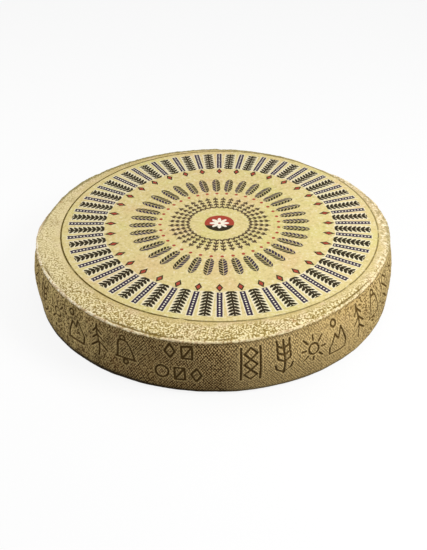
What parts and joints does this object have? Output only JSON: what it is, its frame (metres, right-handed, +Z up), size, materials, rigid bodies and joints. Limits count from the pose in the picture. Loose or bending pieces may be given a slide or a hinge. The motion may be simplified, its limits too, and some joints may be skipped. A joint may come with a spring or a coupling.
{
  "type": "hard cheese wheel",
  "caption": "Whole round wheel of hard mountain cheese with a cloth-pressed heel, a rolled upper lip and a round paper label on top.",
  "frame": {"origin": "centre of the footprint on the board the wheel lies on", "axes": "+Z up through the flat upper face that carries the label; -Y towards the heel side with the small pricked mark"},
  "size_m": [0.602, 0.6021, 0.1008],
  "materials": {
    "rind": "dry cloth-pressed washed rind, golden tan to brown",
    "label_paper": "thin pale straw paper pressed onto the rind, with a plain printed pattern"
  },
  "bodies": {
    "root": {"cheese_wheel": "rind", "paper_label": "label_paper"}
  },
  "joints": []
}
